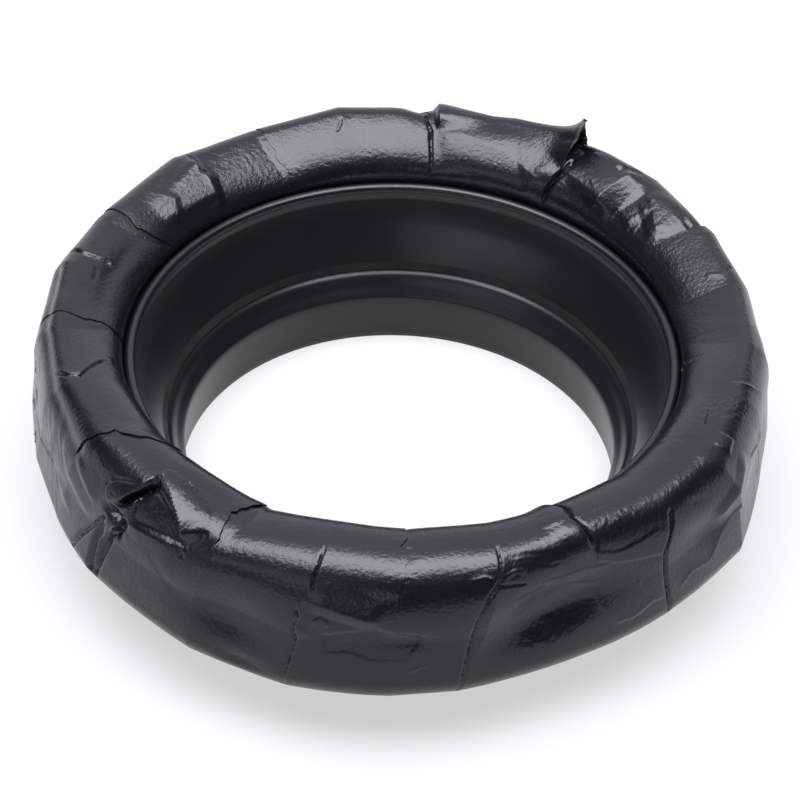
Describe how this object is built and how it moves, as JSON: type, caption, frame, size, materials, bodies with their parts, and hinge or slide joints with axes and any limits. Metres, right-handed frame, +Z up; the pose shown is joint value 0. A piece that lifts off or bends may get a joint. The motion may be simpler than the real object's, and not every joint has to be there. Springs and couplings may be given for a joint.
{
  "type": "toilet pan seal",
  "caption": "Ring of black mastic bound in glossy wound film, round a soft black horn that leads a toilet pan's outlet into the soil pipe.",
  "frame": {"origin": "on the passage's axis, in the plane of the horn's lower rim, which is the bottom centre of the object's box to about a millimetre", "axes": "+Z up along the passage, from the soil pipe to the pan; -Y faces the camera of the picture; +X to its right"},
  "size_m": [0.1422, 0.145, 0.0458],
  "materials": {
    "horn": "smooth satin moulding",
    "mastic": "dull, tacky",
    "film": "glossy stretched film, creased and lightly grained"
  },
  "bodies": {
    "root": {"inner_horn": "horn", "mastic_ring": "mastic", "film_wrap": "film"}
  },
  "joints": []
}
